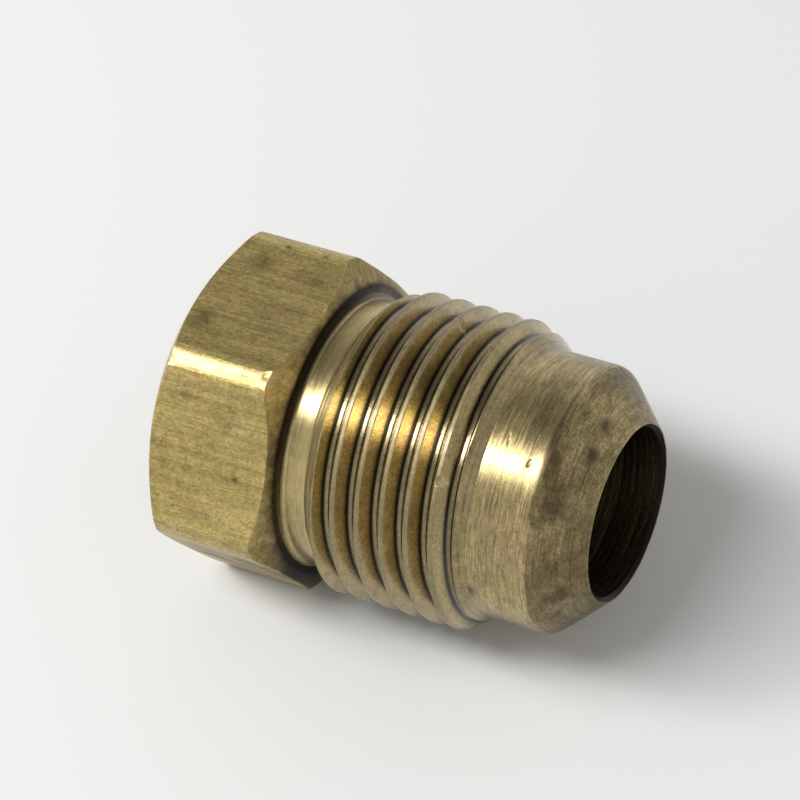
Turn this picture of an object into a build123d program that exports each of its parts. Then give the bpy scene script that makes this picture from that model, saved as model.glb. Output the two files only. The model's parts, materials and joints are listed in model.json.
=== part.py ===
from build123d import *
import os
from math import atan, cos, degrees, radians, tan

# Flare fitting: hexagon with a tapered pipe thread at one end, 45 degree flare seat at the other.
# The frame's origin is on the axis, at the hexagon's end face. +X runs along the axis to the flare
# nose, and +Z is square to a wrench flat, so the fitting lies on the opposite flat.
# All sizes are in millimetres.

os.makedirs("parts", exist_ok=True)

# stations along the axis
hex_end = 8.4
neck_end = 10.1
thread_end = 19.2
lead_in_end = 20.5
band_end = 24.25
tip = 26.95

# wrench hexagon, drawn with corners turned to a circle and chamfered at both ends
across_flats = 19.05
corner_diameter = 21.3
chamfer_face_diameter = 17.9
chamfer_angle = 30.0

# turned outside
neck_diameter = 16.3
neck_root_fillet = 0.35
band_diameter = 16.3
seat_angle = 45.0
mouth_wall = 0.06

# external straight thread, 16 per inch, right hand
flare_pitch = 25.4 / 16
flare_major_diameter = 18.8
flare_core_diameter = 17.0
flare_crest_flat = 0.24
flank_angle = 30.0
flare_crest_station = 1.05
flare_turns = 8
lead_in_diameter = 18.4

# bore through the nose, and the tapered thread that meets it
bore_diameter = 10.3
bore_mouth_chamfer = 0.25
pipe_pitch = 25.4 / 18
pipe_taper = 1 / 16
pipe_root_diameter = 13.6
pipe_crest_diameter = 11.6
pipe_crest_flat = 0.12
pipe_thread_length = 9.6
pipe_hole_depth = 10.1
pipe_shoulder_angle = 59.0
pipe_entry_diameter = 14.2
pipe_fade_length = 1.0
pipe_turns = 8

# how far the swept ridges run past the surfaces that trim them, and cuts past the end faces
ridge_trim = 0.12
pipe_ridge_bury = 0.25
overrun = 1.0

across_circle = across_flats / cos(radians(30))
chamfer_run = (corner_diameter - chamfer_face_diameter) / 2 * tan(radians(chamfer_angle))
mouth_radius = band_diameter / 2 - (tip - band_end) * tan(radians(seat_angle)) - mouth_wall
# the helix starts square to +Z, five pitches along from the station where a crest would cross +Z
flare_start = flare_crest_station + 5 * flare_pitch


def pipe_root_radius(station):
    """Radius of the tapered hole's wall at a station along the axis."""
    return pipe_root_diameter / 2 - station * pipe_taper / 2


# The tapered hole: entry chamfer, tapered wall, and the drilled shoulder down to the bore
pipe_entry_depth = pipe_entry_diameter / 2 - pipe_root_radius(0)
shoulder_drop = pipe_root_radius(pipe_hole_depth) - bore_diameter / 2
shoulder_station = pipe_hole_depth + shoulder_drop / tan(radians(pipe_shoulder_angle))

with BuildPart() as pipe_hole:
    with BuildSketch(Plane.XY):
        with BuildLine():
            Polyline(
                (-overrun, 0),
                (-overrun, pipe_entry_diameter / 2 + overrun),
                (0, pipe_entry_diameter / 2),
                (pipe_entry_depth, pipe_root_radius(pipe_entry_depth)),
                (pipe_hole_depth, pipe_root_radius(pipe_hole_depth)),
                (shoulder_station, bore_diameter / 2),
                (tip + overrun, bore_diameter / 2),
                (tip + overrun, 0),
                close=True,
            )
        make_face()
    revolve(axis=Axis.X)

# Wrench hexagon, its flats square to Z, cut back by a circle at the corners and a cone at each end
with BuildPart() as wrench_hex:
    with BuildSketch(Plane.YZ):
        RegularPolygon(radius=across_circle / 2, side_count=6, rotation=0)
    extrude(amount=hex_end)
    with BuildSketch(Plane.XY):
        with BuildLine():
            Polyline(
                (0, 0),
                (0, chamfer_face_diameter / 2),
                (chamfer_run, corner_diameter / 2),
                (hex_end - chamfer_run, corner_diameter / 2),
                (hex_end, chamfer_face_diameter / 2),
                (hex_end, 0),
                close=True,
            )
        make_face()
    revolve(axis=Axis.X, mode=Mode.INTERSECT)
    add(pipe_hole.part, mode=Mode.SUBTRACT)
wrench_hex.part.label = "wrench_hex"
export_step(wrench_hex.part, "parts/wrench_hex.step")

# Plain neck behind the thread, with a fillet where it meets the hexagon's face
with BuildPart() as neck_collar:
    with BuildSketch(Plane.XY):
        with BuildLine():
            Line((hex_end, 0), (hex_end, neck_diameter / 2 + neck_root_fillet))
            RadiusArc(
                (hex_end, neck_diameter / 2 + neck_root_fillet),
                (hex_end + neck_root_fillet, neck_diameter / 2),
                neck_root_fillet,
            )
            Polyline(
                (hex_end + neck_root_fillet, neck_diameter / 2),
                (neck_end, neck_diameter / 2),
                (neck_end, 0),
                (hex_end, 0),
            )
        make_face()
    revolve(axis=Axis.X)
    add(pipe_hole.part, mode=Mode.SUBTRACT)
neck_collar.part.label = "neck_collar"
export_step(neck_collar.part, "parts/neck_collar.step")

# Tube under the flare thread, at the thread's root diameter
with BuildPart() as thread_core:
    with BuildSketch(Plane.YZ.offset(neck_end)):
        Circle(flare_core_diameter / 2)
    extrude(amount=thread_end - neck_end)
    add(pipe_hole.part, mode=Mode.SUBTRACT)
thread_core.part.label = "thread_core"
export_step(thread_core.part, "parts/thread_core.step")

# Cone that leads a nut onto the thread
with BuildPart() as lead_in_cone:
    with BuildSketch(Plane.XY):
        with BuildLine():
            Polyline(
                (thread_end, 0),
                (thread_end, lead_in_diameter / 2),
                (lead_in_end, band_diameter / 2),
                (lead_in_end, 0),
                close=True,
            )
        make_face()
    revolve(axis=Axis.X)
    add(pipe_hole.part, mode=Mode.SUBTRACT)
lead_in_cone.part.label = "lead_in_cone"
export_step(lead_in_cone.part, "parts/lead_in_cone.step")


def thread_ridge(pitch, start, turns, foot_radius, top_radius, top_flat):
    """A right-handed helical ridge about +X, a trapezoid in section from its foot to its top."""
    path = Helix(pitch, pitch * turns, foot_radius, center=(start, 0, 0), direction=(1, 0, 0))
    height = top_radius - foot_radius
    foot_half = top_flat / 2 + abs(height) * tan(radians(flank_angle))
    radial = Vector(0, (path @ 0).Y, (path @ 0).Z).normalized()
    with BuildPart() as ridge:
        with BuildSketch(Plane(origin=path @ 0, x_dir=radial, z_dir=path % 0)):
            with BuildLine():
                Polyline(
                    (0, -foot_half),
                    (height, -top_flat / 2),
                    (height, top_flat / 2),
                    (0, foot_half),
                    close=True,
                )
            make_face()
        sweep(path=path, is_frenet=True)
    return ridge.part


# External thread. The ridge is swept deeper, taller and longer than the thread, then trimmed to it
# by the core, by a sleeve outside the crests, and by a square cut at each end.
trim_start = hex_end / 2
trim_length = tip - trim_start
trim_radius = across_circle / 2
flare_ridge = thread_ridge(
    flare_pitch,
    flare_start,
    flare_turns,
    flare_core_diameter / 2 - ridge_trim,
    flare_major_diameter / 2 + ridge_trim,
    flare_crest_flat - 2 * ridge_trim * tan(radians(flank_angle)),
)
with BuildPart() as flare_thread:
    add(flare_ridge)
    with BuildSketch(Plane.YZ.offset(trim_start)):
        Circle(flare_core_diameter / 2)
    extrude(amount=trim_length, mode=Mode.SUBTRACT)
    with BuildSketch(Plane.YZ.offset(trim_start)):
        Circle(trim_radius)
        Circle(flare_major_diameter / 2, mode=Mode.SUBTRACT)
    extrude(amount=trim_length, mode=Mode.SUBTRACT)
    with BuildSketch(Plane.YZ.offset(trim_start)):
        Circle(trim_radius)
    extrude(amount=neck_end - trim_start, mode=Mode.SUBTRACT)
    with BuildSketch(Plane.YZ.offset(thread_end)):
        Circle(trim_radius)
    extrude(amount=tip - thread_end, mode=Mode.SUBTRACT)
flare_thread.part.label = "flare_thread"
export_step(flare_thread.part, "parts/flare_thread.step")

# Internal thread: the ridge is trimmed to the tapered wall and fades in behind the entry chamfer
pipe_ridge = thread_ridge(
    pipe_pitch,
    -pipe_pitch,
    pipe_turns,
    pipe_root_diameter / 2 + pipe_ridge_bury,
    pipe_crest_diameter / 2,
    pipe_crest_flat,
)
with BuildPart() as pipe_thread:
    with BuildSketch(Plane.XY):
        with BuildLine():
            Polyline(
                (pipe_entry_depth, pipe_root_radius(pipe_entry_depth)),
                (pipe_entry_depth + pipe_fade_length, pipe_crest_diameter / 2 - pipe_ridge_bury),
                (pipe_thread_length, pipe_crest_diameter / 2 - pipe_ridge_bury),
                (pipe_thread_length, pipe_root_radius(pipe_thread_length)),
                close=True,
            )
        make_face()
    revolve(axis=Axis.X)
    add(pipe_ridge, mode=Mode.INTERSECT)
pipe_thread.part.label = "pipe_thread"
export_step(pipe_thread.part, "parts/pipe_thread.step")

# Plain band ahead of the thread
with BuildPart() as nose_band:
    with BuildSketch(Plane.YZ.offset(lead_in_end)):
        Circle(band_diameter / 2)
    extrude(amount=band_end - lead_in_end)
    add(pipe_hole.part, mode=Mode.SUBTRACT)
nose_band.part.label = "nose_band"
export_step(nose_band.part, "parts/nose_band.step")

# Flare seat: a 45 degree cone that ends in a narrow rim around the bore's chamfered mouth
with BuildPart() as flare_cone:
    with BuildSketch(Plane.XY):
        with BuildLine():
            Polyline(
                (band_end, bore_diameter / 2),
                (band_end, band_diameter / 2),
                (tip, mouth_radius + mouth_wall),
                (tip, mouth_radius),
                (tip - bore_mouth_chamfer, bore_diameter / 2),
                close=True,
            )
        make_face()
    revolve(axis=Axis.X)
flare_cone.part.label = "flare_cone"
export_step(flare_cone.part, "parts/flare_cone.step")
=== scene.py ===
import json
import math

import bpy
import numpy as np
from mathutils import Matrix, Quaternion, Vector


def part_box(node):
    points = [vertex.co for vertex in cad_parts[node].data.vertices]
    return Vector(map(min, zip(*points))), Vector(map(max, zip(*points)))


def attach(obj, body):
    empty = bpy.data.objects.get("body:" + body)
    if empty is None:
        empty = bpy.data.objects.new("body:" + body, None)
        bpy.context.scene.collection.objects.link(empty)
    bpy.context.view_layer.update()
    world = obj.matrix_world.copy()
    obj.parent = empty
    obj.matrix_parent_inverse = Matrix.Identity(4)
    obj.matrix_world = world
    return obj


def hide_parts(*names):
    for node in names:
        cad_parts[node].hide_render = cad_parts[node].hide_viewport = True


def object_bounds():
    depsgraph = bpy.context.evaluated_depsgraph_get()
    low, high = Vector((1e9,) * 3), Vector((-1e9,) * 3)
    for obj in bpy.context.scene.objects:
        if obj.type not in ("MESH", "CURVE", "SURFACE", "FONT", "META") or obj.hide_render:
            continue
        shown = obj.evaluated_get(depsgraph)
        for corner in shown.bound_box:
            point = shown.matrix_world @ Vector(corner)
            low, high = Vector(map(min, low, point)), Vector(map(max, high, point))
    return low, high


# Brass flare fitting. Lengths are in millimetres, and stations are measured along the axis, +X towards
# the nose.
# Angles run round the axis from +Z towards -Y, so 0 is the upper wrench flat's middle.

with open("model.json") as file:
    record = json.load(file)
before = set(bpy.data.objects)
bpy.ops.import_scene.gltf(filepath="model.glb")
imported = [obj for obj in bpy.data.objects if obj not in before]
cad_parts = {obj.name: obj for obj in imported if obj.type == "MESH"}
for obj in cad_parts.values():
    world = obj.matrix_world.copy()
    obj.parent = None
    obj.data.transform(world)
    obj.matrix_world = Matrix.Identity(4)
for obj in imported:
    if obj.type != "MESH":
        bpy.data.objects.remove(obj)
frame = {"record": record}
cad_low, cad_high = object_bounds()

MM = 0.001
FULL_TURN = 2 * math.pi


def high(node):
    """A CAD node's highest corner, in millimetres."""
    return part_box(node)[1] / MM


def mount(name):
    """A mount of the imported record."""
    return next(m for m in frame["record"]["mounts"] if m["name"] == name)


# ---------------------------------------------------------------- sizes read from the frame
HEX_END = high("wrench_hex").x
NECK_END = high("neck_collar").x
THREAD_END = high("flare_thread").x
LEAD_IN_END = high("lead_in_cone").x
BAND_END = high("nose_band").x
TIP = high("flare_cone").x
FLAT_RADIUS = high("wrench_hex").z
CORNER_RADIUS = high("wrench_hex").y
CREST_RADIUS = high("flare_thread").y
CORE_RADIUS = high("thread_core").z
BAND_RADIUS = high("nose_band").z
BORE_RADIUS = mount("flow_bore")["dims"]["r_mm"]

# ---------------------------------------------------------------- the rest of the fitting's sizes
CHAMFER_FACE_RADIUS = 8.95
CHAMFER_SLOPE = math.tan(math.radians(30))
NECK_FILLET = 0.35
FLARE_PITCH = 25.4 / 16
FLARE_CREST_STATION = 1.05
CREST_HALF = 0.12
FLANK_SLOPE = 1 / math.tan(math.radians(30))
ROOT_ROUND = 0.1
CREST_ROUND = 0.05
SHOULDER_RUN = 0.95
LEAD_IN_START = 18.95
BLANK_ROUND = 0.12
HEX_CORNER_ROUND = 0.22
HEX_EDGE_ROUND = 0.05
CONE_EDGE_ROUND = 0.35
MOUTH_CHAMFER = 0.25
MOUTH_SLOPE = 0.9
DRILL_MARK_DEPTH = 0.012
DRILL_MARK_PITCH = 0.8
PIPE_PITCH = 25.4 / 18
PIPE_WALL_RADIUS = 6.8
PIPE_CREST_RADIUS = 5.8
PIPE_CREST_HALF = 0.06
PIPE_ROOT_ROUND = 0.08
PIPE_TAPER = 1 / 32
PIPE_ENTRY = 0.3
PIPE_THREAD_END = 9.6
SHOULDER_STATION = 10.9
# the radius, out of sight, at which the threaded sleeve and the tube inside it meet
SLEEVE_RADIUS = BAND_RADIUS - 0.2


# ---------------------------------------------------------------- shaping functions
def smooth_min(a, b, blend):
    """The lower of a and b, with the corner between them rounded over the height blend."""
    h = np.clip(0.5 + 0.5 * (b - a) / blend, 0, 1)
    return b * (1 - h) + a * h - blend * h * (1 - h)


def smooth_max(a, b, blend):
    """The higher of a and b, with the corner rounded."""
    return -smooth_min(-a, -b, blend)


def bell(distance, width, power=2):
    """1 where distance is 0, falling away to almost nothing at twice the width."""
    return np.exp(-((distance / width) ** power))


def hex_radius(angle):
    """The hexagon's radius at an angle: six flats, with the corners turned to a circle."""
    from_flat = (angle + math.pi / 6) % (math.pi / 3) - math.pi / 6
    return smooth_min(FLAT_RADIUS / np.cos(from_flat), CORNER_RADIUS + 0 * angle, HEX_CORNER_ROUND)


def pipe_wall(station):
    """Radius of the tapered pipe hole's wall."""
    return PIPE_WALL_RADIUS - station * PIPE_TAPER


def ridge_offset(station, angle, pitch, crest_station):
    """Distance along the axis from the nearest crest of a right-hand thread."""
    turns = (station - crest_station) / pitch - angle / FULL_TURN
    return (turns - np.round(turns)) * pitch


def flare_blank(station):
    """Radius of the turned blank that the thread is cut into: a shoulder, a barrel and a cone."""
    shoulder = BAND_RADIUS + (station - NECK_END) * (CREST_RADIUS - BAND_RADIUS) / SHOULDER_RUN
    cone_slope = (CREST_RADIUS - BAND_RADIUS) / (LEAD_IN_END - LEAD_IN_START)
    cone = BAND_RADIUS + (LEAD_IN_END - station) * cone_slope
    barrel = smooth_min(shoulder, CREST_RADIUS + 0 * station, BLANK_ROUND)
    return smooth_min(barrel, cone, BLANK_ROUND)


def flare_surface(station, angle):
    """Outer radius of the threaded length: the blank, with the 60 degree groove cut into it."""
    off = np.abs(ridge_offset(station, angle, FLARE_PITCH, FLARE_CREST_STATION))
    flank = CREST_RADIUS - (off - CREST_HALF) * FLANK_SLOPE
    groove = smooth_max(flank, CORE_RADIUS + 0 * off, ROOT_ROUND)
    return smooth_min(flare_blank(station), groove, CREST_ROUND)


def nose_surface(station):
    """Outer radius of the nose: the band, rounded into the 45 degree seat."""
    return smooth_min(BAND_RADIUS + 0 * station, BAND_RADIUS + (BAND_END - station), CONE_EDGE_ROUND)


# ---------------------------------------------------------------- small damage, as shallow dents
DENT_STEEPNESS = 2.5
# each dent: station, angle in degrees, length along the axis, width round it, depth, twist in degrees
BAND_DENTS = [
    (23.26, 29, 0.13, 0.34, 0.05, 15),
    (21.6, 22, 0.07, 0.5, 0.03, -8),
    (23.4, 70, 0.1, 0.5, 0.03, 20),
    (21.1, 95, 0.25, 0.8, 0.05, 35),
]
CREST_DENTS = [
    (18.85, 45, 0.3, 0.3, 0.13, 20),
    (14.0, 118, 0.3, 0.4, 0.1, 0),
    (17.2, 101, 0.25, 0.3, 0.09, 15),
    (12.4, 5, 0.3, 0.35, 0.08, 0),
    (15.6, -22, 0.3, 0.4, 0.09, 0),
    (13.9, 210, 0.4, 0.5, 0.1, 10),
    (17.1, 262, 0.3, 0.4, 0.12, -10),
]
HEX_DENTS = [
    (0.9, 31, 0.5, 0.35, 0.1, 20),
    (7.3, 28, 0.45, 0.3, 0.09, -30),
    (5.1, 88, 0.5, 0.3, 0.06, 10),
    (2.2, 152, 0.5, 0.35, 0.08, 10),
    (6.2, 271, 0.4, 0.35, 0.08, 0),
]


def dented(station, angle, radius, dents):
    """radius, lowered by each dent's rounded hollow."""
    for centre, degrees, length, width, depth, twist in dents:
        along = station - centre
        around = (angle - math.radians(degrees) + math.pi) % FULL_TURN - math.pi
        around = around * radius
        c, s = math.cos(math.radians(twist)), math.sin(math.radians(twist))
        u = (along * c + around * s) / length
        v = (around * c - along * s) / width
        radius = radius - depth * np.exp(-DENT_STEEPNESS * (u * u + v * v) ** 2)
    return radius


def thread_normals(rows, angle):
    """The threaded surface's own normals, so that two pieces shade alike where they meet."""
    step = 0.004
    a = angle[None, :] + 0 * rows

    def surface(station, turn):
        return dented(station, turn, flare_surface(station, turn), CREST_DENTS)

    radius = surface(rows, a)
    along = (surface(rows + step, a) - surface(rows - step, a)) / (2 * step)
    turn_step = step / CREST_RADIUS
    around = (surface(rows, a + turn_step) - surface(rows, a - turn_step)) / (2 * turn_step) / radius
    out = np.stack([-along, -np.sin(a) + around * np.cos(a), np.cos(a) + around * np.sin(a)], -1)
    return out / np.linalg.norm(out, axis=-1, keepdims=True)


# ---------------------------------------------------------------- tarnish spots, and spots of painted shade
SPOT_STEEPNESS = 1.2
# each spot: station, angle in degrees, length along the axis, width round it, strength
HEX_SPOTS = [
    (2.7, -18, 0.9, 0.7, 0.75),
    (1.5, 14, 0.7, 0.9, 0.8),
    (3.5, -26, 0.18, 0.18, 1.0),
    (6.0, -26, 0.2, 0.15, 0.9),
    (6.4, -15, 1.1, 0.8, 0.45),
    (5.0, 5, 1.6, 1.6, 0.35),
    (2.4, 41, 0.6, 0.4, 0.6),
    (5.1, 45, 1.3, 1.0, 0.4),
    (6.2, 66, 0.28, 0.28, 1.0),
    (1.4, 64, 0.6, 1.5, 0.4),
    (4.0, 82, 1.5, 0.8, 0.35),
    (4.2, 60, 5.0, 4.0, 0.22),
    # the next four darken the lower front flat towards the neck: painted shade, a dark reflection of the
    # shadowed floor
    (4.2, 120, 5.0, 4.5, 0.7),
    (2.6, 125, 2.6, 2.0, 0.9),
    (6.4, 112, 2.0, 2.4, 1.2),
    (7.5, 120, 1.2, 2.2, 1.4),
    (5.6, 150, 1.2, 1.6, 0.5),
    (2.2, 205, 1.4, 1.2, 0.6),
    (5.2, 246, 1.6, 1.0, 0.5),
    (3.1, 297, 1.2, 1.5, 0.6),
    (6.3, 318, 0.5, 0.6, 0.8),
]
BAND_SPOTS = [
    (23.1, 4, 1.3, 3.2, 0.38),
    (22.6, 72, 1.6, 3.2, 0.3),
    (24.1, 14, 0.25, 2.4, 0.8),
    (24.2, 44, 0.3, 1.6, 0.9),
    (23.2, 29, 0.2, 0.35, 0.7),
    (20.6, 94, 0.35, 0.5, 0.9),
    (22.4, 118, 2.6, 1.5, 0.8),
    (22.5, -44, 2.6, 1.3, 0.5),
    (22.0, 150, 1.2, 3.5, 0.5),
    (21.6, 240, 1.0, 3.0, 0.5),
    (23.3, 310, 0.9, 2.4, 0.6),
]
CONE_SPOTS = [
    (25.0, 42, 1.2, 1.8, 0.8),
    (25.1, 43, 0.6, 0.85, 1.25),
    (24.5, 29, 0.4, 2.0, 1.05),
    (25.6, 33, 0.8, 1.4, 0.45),
    (25.88, -5, 0.32, 0.6, 1.1),
    (25.95, 15, 0.34, 0.7, 1.2),
    (24.34, 52, 0.14, 0.35, 1.1),
    (25.4, 88, 3.0, 4.2, 0.5),
    (25.4, 76, 1.1, 1.3, 0.8),
    (25.5, 93, 1.1, 1.0, 1.2),
    (25.1, 108, 0.9, 1.4, 0.6),
    (25.4, -50, 1.8, 2.2, 0.7),
    (25.6, 160, 0.8, 1.8, 0.7),
    (25.2, 220, 0.9, 1.5, 0.6),
    (25.9, 280, 0.5, 1.4, 0.8),
]


def stained(station, angle, radius, spots):
    """How strongly the spots discolour each point, 0 to 1."""
    total = np.zeros(np.broadcast(station, angle).shape)
    for centre, degrees, length, width, strength in spots:
        along = (station - centre) / length
        around = (angle - math.radians(degrees) + math.pi) % FULL_TURN - math.pi
        around = around * radius / width
        spot = strength * np.exp(-SPOT_STEEPNESS * (along * along + around * around))
        total = np.maximum(total, spot)
    return total


# ---------------------------------------------------------------- mesh building
# how many columns of vertices go round each turned piece
NECK_COLUMNS = 540
CORE_COLUMNS = 360
THREAD_COLUMNS = 680
PIPE_COLUMNS = 540
NOSE_COLUMNS = 900
# how far apart the rows are on the plain turned surfaces and in the bore
OUTER_STEP = 0.06
BORE_STEP = 0.08


def spread(start, stop, step):
    """Evenly spaced values from start to stop, about step apart."""
    return np.linspace(start, stop, max(2, int(round((stop - start) / step)) + 1))


def angles(count):
    """Evenly spaced angles of one full turn, without the last, which is the first again."""
    return np.arange(count) * FULL_TURN / count


def plain_rows(stations, angle):
    """Rows of one station each, for a surface with no thread."""
    return np.repeat(np.asarray(stations, float)[:, None], len(angle), axis=1)


def thread_rows(start, stop, angle, pitch, crest_station, offsets):
    """Rows that climb with a thread, so that its edges lie along the mesh, and the rows per pitch."""
    first = math.floor((start - crest_station) / pitch) - 2
    last = math.ceil((stop - crest_station) / pitch) + 1
    base = [crest_station + k * pitch + o for k in range(first, last + 1) for o in offsets]
    rows = np.array(base)[:, None] + angle[None, :] / FULL_TURN * pitch
    return np.clip(rows, start, stop), len(offsets)


class Skin:
    """Collects the vertices and faces of one closed piece."""

    def __init__(self):
        self.points, self.faces, self.wear, self.stain, self.normals = [], [], [], [], []
        self.count = self.n_joins = 0

    def sheet(self, rows, radius, angle, inward=False, shift=0, wear=0.0, stain=0.0, normals=0.0):
        """Adds a surface of rows by angles and returns its first and last rings of vertices.

        shift is how many rows the last column lies below the first, one full turn on, which is the
        rows per pitch where they climb with a thread, and 0 where they don't.
        """
        n_rows, n_cols = rows.shape
        x = rows
        y = -radius * np.sin(angle)[None, :]
        z = radius * np.cos(angle)[None, :]
        self.points.append(np.stack([x, y, z], -1).reshape(-1, 3))
        self.wear.append((wear + np.zeros(x.shape)).reshape(-1))
        self.stain.append((stain + np.zeros(x.shape)).reshape(-1))
        self.normals.append((normals + np.zeros((*x.shape, 3))).reshape(-1, 3))
        base, self.count = self.count, self.count + x.size
        lowest = (rows <= rows.min() + 1e-9).sum(0) - 1
        highest = n_rows - (rows >= rows.max() - 1e-9).sum(0)

        def vertex(row, col):
            if col == n_cols:
                row, col = min(row + shift, n_rows - 1), 0
            row = min(max(row, lowest[col]), highest[col])
            return base + row * n_cols + col

        for col in range(n_cols):
            for row in range(n_rows - 1):
                corners = [
                    vertex(row, col),
                    vertex(row, col + 1),
                    vertex(row + 1, col + 1),
                    vertex(row + 1, col),
                ]
                face = [v for k, v in enumerate(corners) if v != corners[k - 1]]
                if len(face) > 2:
                    self.faces.append(face[::-1] if inward else face)
        start = [vertex(0, col) for col in range(n_cols)]
        stop = [vertex(n_rows - 1, col) for col in range(n_cols)]
        return start, stop

    def join(self, ring_a, ring_b):
        """Closes the gap between two rings, from ring_a to ring_b."""
        n = len(ring_a)
        self.n_joins += n
        for k in range(n):
            m = (k + 1) % n
            self.faces.append([ring_a[k], ring_a[m], ring_b[m], ring_b[k]])

    def corner_normals(self, normals):
        """Each face corner's normal. A zero, as on the joining faces, leaves it to Blender."""
        n_sheet_faces = len(self.faces) - self.n_joins
        corners = []
        for k, face in enumerate(self.faces):
            share = 1.0 if k < n_sheet_faces else 0.0
            corners += [(normals[v] * share).tolist() for v in face]
        return corners

    def build(self, name, sharp_degrees):
        """Makes the Blender object, in metres, with unused vertices left out."""
        points = np.concatenate(self.points) * MM
        used = sorted({v for face in self.faces for v in face})
        renumber = {v: k for k, v in enumerate(used)}
        mesh = bpy.data.meshes.new(name)
        faces = [[renumber[v] for v in face] for face in self.faces]
        mesh.from_pydata(points[used].tolist(), [], faces)
        for label, values in (("wear", self.wear), ("stain", self.stain)):
            layer = mesh.attributes.new(label, "FLOAT", "POINT")
            layer.data.foreach_set("value", np.concatenate(values)[used].astype(np.float32))
        mesh.shade_smooth()
        mesh.set_sharp_from_angle(angle=math.radians(sharp_degrees))
        normals = np.concatenate(self.normals)
        if normals.any():
            mesh.normals_split_custom_set(self.corner_normals(normals))
        mesh.update()
        piece = bpy.data.objects.new(name, mesh)
        bpy.context.scene.collection.objects.link(piece)
        return piece


def ring_piece(name, angle, outer, inner):
    """A closed ring-shaped piece. outer and inner are the keyword values of their sheets."""
    skin = Skin()
    out_a, out_b = skin.sheet(angle=angle, **outer)
    in_a, in_b = skin.sheet(angle=angle, inward=True, **inner)
    skin.join(in_a, out_a)
    skin.join(out_b, in_b)
    return skin.build(name, sharp_degrees=40)


# ---------------------------------------------------------------- materials
def node(tree, kind, links=None, **settings):
    """Adds a node, sets its properties and input values, and links its inputs."""
    made = tree.nodes.new(kind)
    for key, value in settings.items():
        setattr(made, key, value)
    for key, value in (links or {}).items():
        if isinstance(value, bpy.types.NodeSocket):
            tree.links.new(value, made.inputs[key])
        else:
            made.inputs[key].default_value = value
    return made


def stretched(tree, source, scale):
    """Coordinates in millimetres, scaled along each axis."""
    made = node(tree, "ShaderNodeVectorMath", {0: source, 1: scale}, operation="MULTIPLY")
    return made.outputs[0]


def turned(tree, source, angles_by_axis, scale):
    """Coordinates turned to a slant and then scaled, for marks that run across the piece."""
    made = node(
        tree,
        "ShaderNodeVectorRotate",
        {0: source, "Rotation": angles_by_axis},
        rotation_type="EULER_XYZ",
    )
    return stretched(tree, made.outputs[0], scale)


def noise(tree, where, scale, detail=2.0, roughness=0.5, distortion=0.0):
    """A noise texture's value, 0 to 1."""
    made = node(
        tree,
        "ShaderNodeTexNoise",
        {
            "Vector": where,
            "Scale": scale,
            "Detail": detail,
            "Roughness": roughness,
            "Distortion": distortion,
        },
    )
    return made.outputs[0]


def remap(tree, value, from_low, from_high, to_low=0.0, to_high=1.0):
    """value moved from one range to another, and held inside it."""
    made = node(
        tree,
        "ShaderNodeMapRange",
        {0: value, 1: from_low, 2: from_high, 3: to_low, 4: to_high},
        interpolation_type="SMOOTHSTEP",
    )
    return made.outputs[0]


def maths(tree, operation, a, b):
    """One arithmetic step."""
    return node(tree, "ShaderNodeMath", {0: a, 1: b}, operation=operation).outputs[0]


def plus(tree, total, value, factor):
    """total with factor times value added to it."""
    return maths(tree, "ADD", total, maths(tree, "MULTIPLY", value, factor))


def mix(tree, factor, a, b, blend="MIX"):
    """Colour a turning into colour b."""
    made = node(tree, "ShaderNodeMix", data_type="RGBA", blend_type=blend)
    for socket, value in ((made.inputs[0], factor), (made.inputs[6], a), (made.inputs[7], b)):
        if isinstance(value, bpy.types.NodeSocket):
            tree.links.new(value, socket)
        else:
            socket.default_value = value
    return made.outputs[2]


BRIGHT_BRASS = (0.66, 0.56, 0.31, 1)
# brown for tarnish, and for the painted shade on the hexagon's lower front flat
BROWN_TARNISH_AND_SHADE = (0.092, 0.064, 0.033, 1)
# black for grime, and for painted shade in corners, thread roots and the bore
BLACK_GRIME_AND_SHADE = (0.015, 0.011, 0.010, 1)
CREST_BRASS = (0.28, 0.226, 0.120, 1)
ROSE_CAST = (1.03, 0.985, 0.97, 1)
OLIVE_CAST = (0.98, 1.005, 0.92, 1)


def shade(colour, factor):
    """A colour made darker or lighter."""
    return tuple(c * factor for c in colour[:3]) + (1,)


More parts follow.
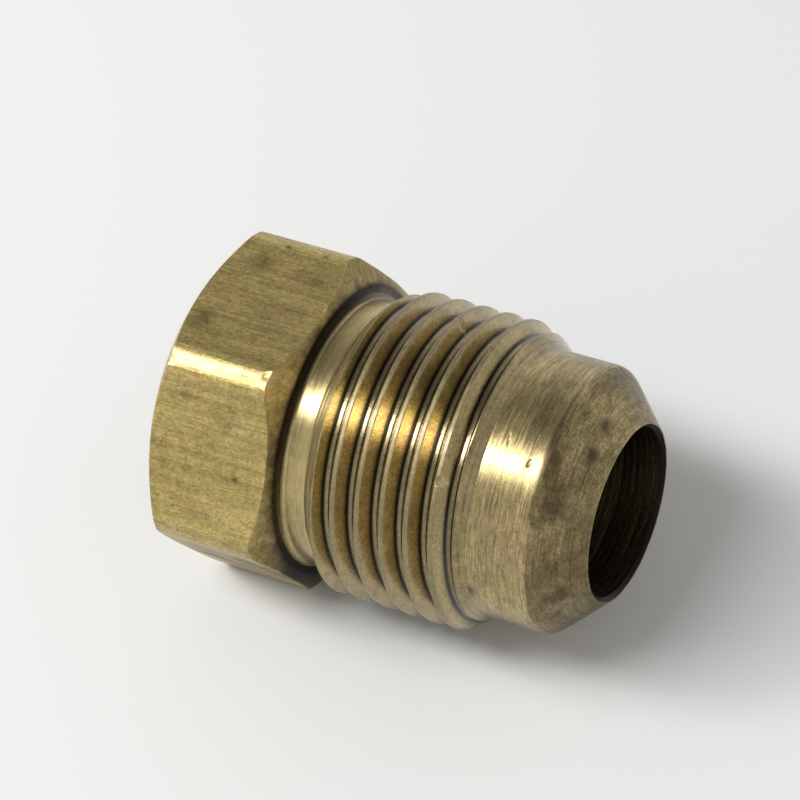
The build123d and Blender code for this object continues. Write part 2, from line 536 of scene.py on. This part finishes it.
def brass(
    name,
    base,
    lines_per_mm,
    grain_per_mm,
    line_depth,
    line_colour,
    tarnish,
    rough,
    anisotropy=0.0,
    worn_colour=BRIGHT_BRASS,
    oil_film=0.0,
    streaks=0.2,
    mottling=0.2,
):
    """Brass with tool lines, patchy tarnish, grain, pits, dark roots and bright worn edges.

    The mesh's wear attribute is above 0 where the metal is worn, and below 0 where it is darkened: in
    places by grime, and by painted shade beside the hexagon's face, on its lower chamfer, in the thread
    roots and in the bore. Its stain attribute is how strongly a spot discolours it: mostly tarnish, and
    painted shade on the hexagon's lower front flat. Depths are in millimetres.
    """
    material = bpy.data.materials.new(name)
    material.use_nodes = True
    tree = material.node_tree
    tree.nodes.clear()

    # patterns
    coords = node(tree, "ShaderNodeTexCoord").outputs["Object"]
    place = stretched(tree, coords, (1 / MM, 1 / MM, 1 / MM))
    line_place = stretched(tree, place, lines_per_mm)
    lines = noise(tree, line_place, 1.0, 4.0, 0.7)
    wide_lines = noise(tree, line_place, 0.27, 3.0, 0.6)
    thin_lines = noise(tree, line_place, 1.7, 1.0, 0.5)
    patches = noise(tree, place, 0.36, 5.0, 0.65, 0.6)
    clouds = noise(tree, place, 1.4, 4.0, 0.65, 0.3)
    hue_clouds = noise(tree, place, 0.5, 3.0, 0.6, 0.4)
    grain = noise(tree, stretched(tree, place, grain_per_mm), 1.0, 3.0, 0.7)
    mottle = noise(tree, place, 5.5, 3.0, 0.75)
    scuffs = noise(tree, turned(tree, place, SCUFF_SLANT, SCUFFS_PER_MM), 1.0, 2.0, 0.6)
    specks = noise(tree, place, 4.6, 2.0, 0.5)
    wear = node(tree, "ShaderNodeAttribute", attribute_name="wear").outputs["Fac"]
    stain = node(tree, "ShaderNodeAttribute", attribute_name="stain").outputs["Fac"]

    # colour: worn metal, tarnish, tool lines, grain, pits, spots (tarnish and painted shade) and grime
    # with painted shade, in that order
    worn = maths(tree, "MULTIPLY", wear, remap(tree, grain, 0.35, 0.6, 0.7, 1.1))
    worn = remap(tree, worn, 0.05, 0.9)
    colour = mix(tree, worn, base, worn_colour)
    patch = remap(tree, patches, 0.42, 0.66, 0.0, tarnish)
    colour = mix(tree, patch, colour, shade(base, 0.6))
    cloud = remap(tree, clouds, 0.50, 0.74, 0.0, tarnish * 0.55)
    colour = mix(tree, cloud, colour, BROWN_TARNISH_AND_SHADE)
    dark_lines = remap(tree, wide_lines, 0.42, 0.66, 0.0, line_colour)
    colour = mix(tree, dark_lines, colour, shade(base, 0.5))
    light_lines = remap(tree, lines, 0.50, 0.70, 0.0, line_colour * 0.7)
    colour = mix(tree, light_lines, colour, BRIGHT_BRASS)
    groove = remap(tree, thin_lines, 0.62, 0.70, 0.0, line_colour * 1.1)
    colour = mix(tree, groove, colour, shade(base, 0.4))
    scuff = remap(tree, scuffs, 0.66, 0.74, 0.0, line_colour)
    colour = mix(tree, scuff, colour, shade(base, 0.35))
    grain_shade = remap(tree, grain, 0.3, 0.7, 1 - streaks, 1 + streaks * 0.8)
    colour = mix(tree, 1.0, colour, grain_shade, "MULTIPLY")
    mottle_shade = remap(tree, mottle, 0.32, 0.68, 1 - mottling, 1 + mottling)
    colour = mix(tree, 1.0, colour, mottle_shade, "MULTIPLY")
    hue = mix(tree, remap(tree, hue_clouds, 0.38, 0.62), ROSE_CAST, OLIVE_CAST)
    colour = mix(tree, 1.0, colour, hue, "MULTIPLY")
    pit = remap(tree, specks, 0.70, 0.76, 0.0, 0.8)
    colour = mix(tree, pit, colour, BROWN_TARNISH_AND_SHADE)
    # tarnish spots, and painted shade on the hexagon's lower front flat
    spot = maths(tree, "MULTIPLY", stain, remap(tree, clouds, 0.28, 0.68, 0.55, 1.25))
    spot = maths(tree, "MULTIPLY", spot, remap(tree, grain, 0.3, 0.7, 0.7, 1.1))
    colour = mix(tree, maths(tree, "MINIMUM", spot, 0.9), colour, BROWN_TARNISH_AND_SHADE)
    # grime, and painted shade by the hexagon's face, on its lower chamfer, in the thread roots and in the
    # bore
    grime_and_shade = remap(tree, maths(tree, "MULTIPLY", wear, -1.0), 0.0, 1.0)
    colour = mix(tree, grime_and_shade, colour, BLACK_GRIME_AND_SHADE)

    # roughness: dull where the metal is tarnished, spotted, scuffed or worn
    roughness = remap(tree, lines, 0.3, 0.75, rough - 0.05, rough + 0.08)
    roughness = plus(tree, roughness, patch, 0.08)
    roughness = plus(tree, roughness, spot, 0.12)
    roughness = plus(tree, roughness, scuff, 0.1)
    roughness = plus(tree, roughness, worn, 0.3)

    # relief
    height = maths(tree, "MULTIPLY", lines, line_depth)
    height = plus(tree, height, wide_lines, line_depth * 1.8)
    height = plus(tree, height, grain, 0.0035)
    height = plus(tree, height, mottle, mottling * 0.02)
    height = plus(tree, height, groove, -0.004)
    height = plus(tree, height, scuff, -0.004)
    height = plus(tree, height, pit, -0.006)
    bump = node(tree, "ShaderNodeBump", {"Height": height, "Strength": 1.0, "Distance": MM})

    tangent = node(tree, "ShaderNodeTangent", direction_type="RADIAL", axis="X").outputs[0]
    shader = node(
        tree,
        "ShaderNodeBsdfPrincipled",
        {
            "Base Color": colour,
            "Roughness": roughness,
            "Normal": bump.outputs[0],
            "Tangent": tangent,
            "Metallic": 1.0,
            "Anisotropic": anisotropy,
            "Anisotropic Rotation": 0.25,
            "Coat Weight": oil_film,
            "Coat Roughness": 0.16,
        },
    )
    output = node(tree, "ShaderNodeOutputMaterial", {"Surface": shader.outputs[0]})
    output.is_active_output = True
    return material


# lines and grains per millimetre along X, Y and Z. The LENGTH ones are drawn out along the fitting, the
# ROUND ones and the thread's lines across it, and the thread's grain is even. The scuffs lie at a slant,
# in radians.
LENGTH_LINES = (0.13, 6.5, 6.5)
ROUND_LINES = (6.0, 0.14, 0.14)
THREAD_LINES = (2.4, 0.7, 0.7)
LENGTH_GRAIN = (2.6, 7.5, 7.5)
ROUND_GRAIN = (9.0, 0.9, 0.9)
THREAD_GRAIN = (6.0, 6.0, 6.0)
SCUFFS_PER_MM = (0.3, 6.0, 6.0)
SCUFF_SLANT = (0.5, 0.9, 0.4)

drawn_brass = brass(
    "drawn_brass",
    (0.55, 0.432, 0.170, 1),
    LENGTH_LINES,
    LENGTH_GRAIN,
    line_depth=0.007,
    line_colour=0.48,
    tarnish=0.50,
    rough=0.33,
)
turned_brass = brass(
    "turned_brass",
    (0.455, 0.360, 0.180, 1),
    ROUND_LINES,
    ROUND_GRAIN,
    line_depth=0.004,
    line_colour=0.55,
    tarnish=0.50,
    rough=0.35,
    anisotropy=0.6,
    oil_film=0.2,
    streaks=0.36,
    mottling=0.13,
)
neck_brass = brass(
    "neck_brass",
    (0.54, 0.43, 0.205, 1),
    ROUND_LINES,
    ROUND_GRAIN,
    line_depth=0.003,
    line_colour=0.30,
    tarnish=0.30,
    rough=0.29,
    anisotropy=0.5,
    oil_film=0.3,
    streaks=0.15,
    mottling=0.06,
)
seat_brass = brass(
    "seat_brass",
    (0.315, 0.250, 0.130, 1),
    ROUND_LINES,
    ROUND_GRAIN,
    line_depth=0.006,
    line_colour=0.55,
    tarnish=0.85,
    rough=0.34,
    anisotropy=0.5,
    streaks=0.3,
    mottling=0.3,
)
thread_brass = brass(
    "thread_brass",
    (0.43, 0.335, 0.160, 1),
    THREAD_LINES,
    THREAD_GRAIN,
    line_depth=0.003,
    line_colour=0.25,
    tarnish=0.50,
    rough=0.24,
    anisotropy=0.3,
    worn_colour=CREST_BRASS,
    oil_film=0.65,
    mottling=0.14,
)
# its dark base colour is painted shade, the darkness deep inside the bore and the pipe hole
bore_painted_shade_brass = brass(
    "bore_painted_shade_brass",
    (0.075, 0.058, 0.036, 1),
    ROUND_LINES,
    ROUND_GRAIN,
    line_depth=0.008,
    line_colour=0.45,
    tarnish=0.6,
    rough=0.36,
    anisotropy=0.4,
)


def dress(piece, cad_node, material):
    """Gives a piece its material and its body, and hides the CAD node that it stands for."""
    piece.data.materials.append(material)
    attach(piece, "root")
    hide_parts(cad_node)


# ---------------------------------------------------------------- pieces
def face_painted_shade(angle):
    """Painted shade in the corner between the hexagon's face and the neck, most of it on the upper side.
    """
    return 0.45 + 0.5 * np.cos(angle - math.radians(5))


def hex_angles(corner_edge):
    """Angles round the hexagon, close together where a flat turns into a rounded corner."""
    half = np.concatenate(
        [
            np.linspace(0, corner_edge - 0.012, 34),
            corner_edge + np.array([-0.008, -0.004, 0, 0.004, 0.008]),
            np.linspace(corner_edge + 0.012, math.pi / 6, 5),
        ]
    )
    sector = np.concatenate([-half[:0:-1], half[:-1]])
    return np.concatenate([sector + k * math.pi / 3 for k in range(6)])


def hex_rows(cut):
    """Rows along the hexagon, close together at its faces and along the edges of its chamfers."""
    near_edge = np.array([-0.10, -0.06, -0.03, 0, 0.03, 0.06, 0.10])
    face_round = (0, 0.012, 0.03)
    chamfer_steps = (0.2, 0.14, 0.09)
    flat_start = cut + near_edge[-1]
    flat_length = HEX_END - 2 * flat_start
    rows = [0 * cut + d for d in face_round]
    rows += [cut + d for d in near_edge]
    rows += [flat_start + flat_length * t for t in np.linspace(0, 1, 60)[1:-1]]
    rows += [HEX_END - cut + d for d in near_edge]
    rows += [HEX_END + 0 * cut - d for d in (*chamfer_steps, *face_round[::-1])]
    return np.array(rows)


def hex_wear(rows, angle, cut, corner_edge):
    """Bright chamfer edges and corners, and painted shade on the face beside the neck and on the lower
    chamfer.
    """
    near_cut = np.minimum(np.abs(rows - cut), np.abs(HEX_END - cut - rows))
    on_chamfer = rows > HEX_END - cut
    off_corner = np.abs(np.abs((angle + math.pi / 6) % (math.pi / 3) - math.pi / 6) - math.pi / 6)
    stripe = np.clip(1.0 - off_corner / (math.pi / 6 - corner_edge), 0, 1)
    wear = bell(near_cut, 0.07) * 0.35 + 0.55 * stripe[None, :] * ~on_chamfer
    # painted shade in the corner beside the neck, heaviest on the upper side
    ring_painted_shade = face_painted_shade(angle)
    wear = wear - ring_painted_shade[None, :] * bell(HEX_END - rows, 0.1)
    # painted shade on the lower part of the front chamfer, under the neck
    lower_painted_shade = 0.95 * bell(angle - math.radians(126), math.radians(30))
    return wear - lower_painted_shade[None, :] * on_chamfer


def make_wrench_hex():
    """The hexagon, with its rows drawn to the curved edges that the end chamfers cut on the flats."""
    corner_edge = math.acos(FLAT_RADIUS / CORNER_RADIUS)
    angle = hex_angles(corner_edge)
    flat = hex_radius(angle)
    cut = (flat - CHAMFER_FACE_RADIUS) * CHAMFER_SLOPE
    rows = hex_rows(cut)
    chamfer_a = CHAMFER_FACE_RADIUS + rows / CHAMFER_SLOPE
    chamfer_b = CHAMFER_FACE_RADIUS + (HEX_END - rows) / CHAMFER_SLOPE
    radius = smooth_min(flat[None, :] + 0 * rows, chamfer_a, HEX_EDGE_ROUND)
    radius = smooth_min(radius, chamfer_b, HEX_EDGE_ROUND)
    radius = dented(rows, angle[None, :], radius, HEX_DENTS)
    stain = stained(rows, angle[None, :], radius, HEX_SPOTS)
    face_stain = 0.4 + 0.5 * bell(HEX_END - rows, 0.25)
    stain = np.maximum(stain, (rows > HEX_END - cut) * face_stain)
    inner = plain_rows([0, PIPE_ENTRY, HEX_END], angle)
    inner_radius = np.array([PIPE_WALL_RADIUS + PIPE_ENTRY, pipe_wall(PIPE_ENTRY), pipe_wall(HEX_END)])
    piece = ring_piece(
        "wrench_hex_skin",
        angle,
        {"rows": rows, "radius": radius, "wear": hex_wear(rows, angle, cut, corner_edge), "stain": stain},
        {"rows": inner, "radius": inner_radius[:, None] + 0 * inner},
    )
    dress(piece, "wrench_hex", drawn_brass)


def make_neck_collar():
    """The plain neck, with its root fillet against the hexagon and a light tool line before the thread."""
    angle = angles(NECK_COLUMNS)
    arc = np.linspace(0, math.pi / 2, 9)
    fillet_x = HEX_END + NECK_FILLET * (1 - np.cos(arc))
    fillet_r = BAND_RADIUS + NECK_FILLET * (1 - np.sin(arc))
    straight = spread(HEX_END + NECK_FILLET, NECK_END, OUTER_STEP)[1:]
    tool_line = 0.05 * bell(straight - NECK_END + 0.12, 0.05)
    stations = np.concatenate([fillet_x, straight])
    radius = np.concatenate([fillet_r, BAND_RADIUS - tool_line])
    rows = plain_rows(stations, angle)
    # painted shade in the corner against the hexagon's face, heaviest on the upper side
    ring_painted_shade = face_painted_shade(angle)
    wear = -ring_painted_shade[None, :] * bell(stations - HEX_END, 0.2, power=4)[:, None]
    wear = wear - 0.5 * bell(NECK_END - stations, 0.07)[:, None]
    inner = plain_rows([HEX_END, NECK_END], angle)
    piece = ring_piece(
        "neck_collar_skin",
        angle,
        {"rows": rows, "radius": radius[:, None] + 0 * rows, "wear": wear},
        {"rows": inner, "radius": pipe_wall(inner)},
    )
    dress(piece, "neck_collar", neck_brass)


# distances of the mesh's rows from the middle of a crest, closest where the section bends
THREAD_STEPS = (0.04, 0.085, 0.12, 0.15, 0.24, 0.36, 0.48, 0.57, 0.62, 0.67, 0.72)
THREAD_OFFSETS = sorted([side * v for v in THREAD_STEPS for side in (-1, 1)] + [0.0, FLARE_PITCH / 2])


def thread_wear(rows, angle, radius):
    """Dull worn crests; grime and painted shade at each flank's foot, most on the side that faces the
    nose.
    """
    side = ridge_offset(rows, angle[None, :], FLARE_PITCH, FLARE_CREST_STATION)
    groove_depth = flare_blank(rows) - radius
    crest = np.clip(1 - groove_depth / 0.06, 0, 1)
    crest = crest * np.clip((THREAD_END + 0.15 - rows) / 0.3, 0, 1)
    cut = np.clip(groove_depth / 0.15, 0, 1)
    # grime with painted shade at the foot of each flank and along the root
    foot = bell(np.abs(side) - 0.6, 0.11) * np.where(side > 0, 0.95, 0.6)
    root = 0.45 * np.clip((np.abs(side) - 0.6) / 0.05, 0, 1)
    return 0.9 * crest - np.maximum(foot, root) * cut


def threaded_sheet(start, stop, angle):
    """A stretch of the threaded length's outer surface, as the keyword values of its sheet."""
    rows, shift = thread_rows(start, stop, angle, FLARE_PITCH, FLARE_CREST_STATION, THREAD_OFFSETS)
    radius = flare_surface(rows, angle[None, :])
    return {
        "rows": rows,
        "radius": dented(rows, angle[None, :], radius, CREST_DENTS),
        "shift": shift,
        "wear": thread_wear(rows, angle, radius),
        "normals": thread_normals(rows, angle),
    }


def make_flare_thread():
    """The threaded length, whose mesh climbs with the helix."""
    angle = angles(THREAD_COLUMNS)
    inner = plain_rows([NECK_END, THREAD_END], angle)
    piece = ring_piece(
        "flare_thread_skin",
        angle,
        threaded_sheet(NECK_END, THREAD_END, angle),
        {"rows": inner, "radius": np.full(inner.shape, SLEEVE_RADIUS)},
    )
    dress(piece, "flare_thread", thread_brass)


def bore_painted_shade(stations, angle):
    """Painted shade inside the bore, lighter in short arcs: painted glints where a drill's marks catch the
    light.
    """
    rings = np.sin(23.0 * stations + np.sin(3 * angle)) * np.sin(7.1 * stations + 2 * angle)
    return -0.68 + 0.26 * np.clip(rings, 0, 1)


def turning_marks(rows, angle):
    """Dark turning marks on the lead-in cone, in broken rings that start after the thread's last turn."""
    rings = np.sin(31.0 * rows + np.sin(2 * angle)) * np.sin(9.0 * rows - angle)
    start = np.clip((rows - THREAD_END - 0.15) / 0.4, 0, 1)
    return start * (0.25 + 0.5 * np.clip(rings, 0, 1))


def make_lead_in_cone():
    """The cone ahead of the thread, with the groove's last turn running out on it."""
    angle = angles(THREAD_COLUMNS)
    outer = threaded_sheet(THREAD_END, LEAD_IN_END, angle)
    outer["stain"] = turning_marks(outer["rows"], angle[None, :])
    inner = plain_rows(spread(THREAD_END, LEAD_IN_END, BORE_STEP), angle)
    piece = ring_piece(
        "lead_in_cone_skin",
        angle,
        outer,
        # painted shade inside the bore
        {"rows": inner, "radius": np.full(inner.shape, BORE_RADIUS), "wear": bore_painted_shade(inner, angle)},
    )
    dress(piece, "lead_in_cone", thread_brass)


def make_nose_band():
    """The plain turned band, with small dents."""
    angle = angles(NOSE_COLUMNS)
    rows = plain_rows(spread(LEAD_IN_END, BAND_END, OUTER_STEP), angle)
    radius = dented(rows, angle[None, :], nose_surface(rows), BAND_DENTS)
    inner = plain_rows(spread(LEAD_IN_END, BAND_END, BORE_STEP), angle)
    stain = stained(rows, angle[None, :], radius, BAND_SPOTS)
    piece = ring_piece(
        "nose_band_skin",
        angle,
        {"rows": rows, "radius": radius, "stain": stain},
        # painted shade inside the bore
        {"rows": inner, "radius": np.full(inner.shape, BORE_RADIUS), "wear": bore_painted_shade(inner, angle)},
    )
    dress(piece, "nose_band", turned_brass)


def make_flare_cone():
    """The 45 degree seat, rounded into the band, with a narrow rim round the bore's mouth."""
    angle = angles(NOSE_COLUMNS)
    rim_stations = TIP - np.array([0.08, 0.05, 0.025, 0])
    stations = np.concatenate([spread(BAND_END, TIP - 0.12, OUTER_STEP), rim_stations])
    rows = plain_rows(stations, angle)
    radius = nose_surface(rows)
    wear = 0.8 * bell(TIP - rows, 0.05)
    stain = stained(rows, angle[None, :], radius, CONE_SPOTS)
    chamfer_start = TIP - MOUTH_CHAMFER
    chamfer_stations = [chamfer_start, TIP - 0.12, TIP - 0.02, TIP]
    bore_stations = spread(BAND_END, chamfer_start - 0.05, BORE_STEP)
    mouth_stations = np.concatenate([bore_stations, chamfer_stations])
    mouth = plain_rows(mouth_stations, angle)
    opening = np.clip(mouth - chamfer_start, 0, MOUTH_CHAMFER) * MOUTH_SLOPE
    # painted shade inside the bore, and the mouth's chamfer painted black as shade
    inside_wear = np.where(mouth < chamfer_start, bore_painted_shade(mouth, angle), -1.0)
    inside_wear = inside_wear * (mouth < TIP - 0.01)
    piece = ring_piece(
        "flare_cone_skin",
        angle,
        {"rows": rows, "radius": radius, "wear": wear, "stain": stain},
        {"rows": mouth, "radius": BORE_RADIUS + opening, "wear": inside_wear},
    )
    dress(piece, "flare_cone", seat_brass)


def make_thread_core():
    """The tube under the thread, whose inside is the bore and the pipe hole's shoulder."""
    angle = angles(CORE_COLUMNS)
    outer = plain_rows([NECK_END, THREAD_END], angle)
    stations = np.concatenate([[NECK_END], spread(SHOULDER_STATION, THREAD_END, 0.2)])
    inner = plain_rows(stations, angle)
    inner_radius = np.full(inner.shape, BORE_RADIUS)
    inner_radius[0] = pipe_wall(NECK_END)
    drill_marks = DRILL_MARK_DEPTH * np.sin(inner / DRILL_MARK_PITCH * FULL_TURN)
    inner_radius += drill_marks * (inner > SHOULDER_STATION)
    piece = ring_piece(
        "thread_core_skin",
        angle,
        {"rows": outer, "radius": np.full(outer.shape, SLEEVE_RADIUS)},
        {"rows": inner, "radius": inner_radius},
    )
    dress(piece, "thread_core", bore_painted_shade_brass)


PIPE_STEPS = (0.03, 0.06, 0.09, 0.2, 0.33, 0.46, 0.56, 0.61, 0.66)
PIPE_OFFSETS = sorted([side * v for v in PIPE_STEPS for side in (-1, 1)] + [0.0, PIPE_PITCH / 2])
# the sleeve's thickness at the thread's roots, before and after its corners are rounded
PIPE_ROOT_SKIN = 0.03
PIPE_LEAST_SKIN = 0.02


def make_pipe_thread():
    """The internal thread, a sleeve whose inner face climbs with its helix."""
    angle = angles(PIPE_COLUMNS)
    rows, shift = thread_rows(PIPE_ENTRY, PIPE_THREAD_END, angle, PIPE_PITCH, 0.0, PIPE_OFFSETS)
    off = np.abs(ridge_offset(rows, angle[None, :], PIPE_PITCH, 0.0))
    wall = pipe_wall(rows)
    flank = PIPE_CREST_RADIUS + (off - PIPE_CREST_HALF) * FLANK_SLOPE
    radius = smooth_min(flank, wall - PIPE_ROOT_SKIN, PIPE_ROOT_ROUND)
    radius = smooth_max(radius, PIPE_CREST_RADIUS + 0 * rows, CREST_ROUND)
    fade_in = pipe_wall(PIPE_ENTRY) - (rows - PIPE_ENTRY)
    radius = np.minimum(smooth_max(radius, fade_in, CREST_ROUND), wall - PIPE_LEAST_SKIN)
    ridge = wall - radius
    wear = np.clip(ridge - 0.7, 0, 1) - np.clip(0.3 - ridge, 0, 0.3) * 2
    outer = plain_rows([PIPE_ENTRY, PIPE_THREAD_END], angle)
    piece = ring_piece(
        "pipe_thread_skin",
        angle,
        {"rows": outer, "radius": pipe_wall(outer)},
        {"rows": rows, "radius": radius, "shift": shift, "wear": wear},
    )
    dress(piece, "pipe_thread", bore_painted_shade_brass)


make_wrench_hex()
make_pipe_thread()
make_neck_collar()
make_thread_core()
make_flare_thread()
make_lead_in_cone()
make_nose_band()
make_flare_cone()


# ---------------------------------------------------------------- floor, light and camera
# lengths from here on are in metres
FLOOR_HALF = 1.5
FLOOR_GAP = 0.00002


def make_floor():
    """A wide pale table top under the fitting."""
    mesh = bpy.data.meshes.new("floor")
    z = cad_low.z - FLOOR_GAP
    corners = [(-1, -1), (1, -1), (1, 1), (-1, 1)]
    mesh.from_pydata([(x * FLOOR_HALF, y * FLOOR_HALF, z) for x, y in corners], [], [(0, 1, 2, 3)])
    floor = bpy.data.objects.new("floor", mesh)
    bpy.context.scene.collection.objects.link(floor)
    material = bpy.data.materials.new("pale_floor")
    material.use_nodes = True
    shader = material.node_tree.nodes["Principled BSDF"]
    shader.inputs["Base Color"].default_value = (0.67, 0.67, 0.665, 1)
    shader.inputs["Roughness"].default_value = 0.9
    mesh.materials.append(material)


# the studio's brightness in each direction, by its rise from 0 at the horizon to 1 straight overhead
STUDIO_LEVELS = [
    (0.0, 0.86),
    (0.2, 0.92),
    (0.37, 0.82),
    (0.54, 0.67),
    (0.68, 0.48),
    (0.8, 0.33),
    (0.88, 0.26),
]


def make_world():
    """Even studio light, brighter at the horizon than overhead."""
    world = bpy.data.worlds.new("studio")
    world.use_nodes = True
    tree = world.node_tree
    tree.nodes.clear()
    direction = node(tree, "ShaderNodeTexCoord").outputs["Generated"]
    rise = node(tree, "ShaderNodeSeparateXYZ", {0: direction}).outputs[2]
    ramp = node(tree, "ShaderNodeValToRGB", {0: rise})
    stops = ramp.color_ramp.elements
    while len(stops) < len(STUDIO_LEVELS):
        stops.new(0.5)
    for stop, (height, level) in zip(stops, STUDIO_LEVELS):
        stop.position = height
        stop.color = (level, level, level * 0.99, 1)
    background = node(tree, "ShaderNodeBackground", {"Color": ramp.outputs[0], "Strength": 1.0})
    node(tree, "ShaderNodeOutputWorld", {"Surface": background.outputs[0]})
    bpy.context.scene.world = world


CENTRE = Vector((13.5, 0, 0)) * MM
LIGHT_DISTANCE = 0.5


def area_light(name, direction, along, across, radiance):
    """A soft rectangular light that faces the fitting, its first side along the fitting's axis."""
    lamp = bpy.data.lights.new(name, "AREA")
    lamp.shape = "RECTANGLE"
    lamp.size, lamp.size_y = along, across
    lamp.energy = radiance * math.pi * along * across
    made = bpy.data.objects.new(name, lamp)
    bpy.context.scene.collection.objects.link(made)
    towards = Vector(direction).normalized()
    side = Vector((1, 0, 0)) - towards * towards.x
    side.normalize()
    turn = Matrix((side, towards.cross(side), towards)).transposed()
    made.location = CENTRE + towards * LIGHT_DISTANCE
    made.rotation_mode = "QUATERNION"
    made.rotation_quaternion = turn.to_quaternion()


# fitted to the outline in the photo. The angles are in degrees, and the lens in millimetres.
CAMERA_AZIMUTH = 34.79
CAMERA_ELEVATION = 46.71
CAMERA_ROLL = 10.61
CAMERA_DISTANCE = 0.2080
CAMERA_LENS = 157.45
CAMERA_AIM = Vector((11.53, 1.56, 2.26)) * MM


def make_camera():
    """A long lens above and ahead of the nose, rolled a little."""
    data = bpy.data.cameras.new("camera")
    data.lens = CAMERA_LENS
    data.sensor_width = 36
    data.clip_start = 0.01
    camera = bpy.data.objects.new("camera", data)
    bpy.context.scene.collection.objects.link(camera)
    a, e = math.radians(CAMERA_AZIMUTH), math.radians(CAMERA_ELEVATION)
    back = Vector((math.sin(a) * math.cos(e), -math.cos(a) * math.cos(e), math.sin(e)))
    camera.location = CAMERA_AIM + back * CAMERA_DISTANCE
    upright = (-back).to_track_quat("-Z", "Y")
    camera.rotation_mode = "QUATERNION"
    camera.rotation_quaternion = Quaternion(back, -math.radians(CAMERA_ROLL)) @ upright
    bpy.context.scene.camera = camera


make_floor()
make_world()
area_light("key_light", (-0.46, -0.366, 0.805), along=0.44, across=0.12, radiance=13.0)
area_light("tail_light", (-0.68, -0.21, 0.702), along=0.12, across=0.13, radiance=12.0)
make_camera()
bpy.context.scene.view_settings.view_transform = "Standard"
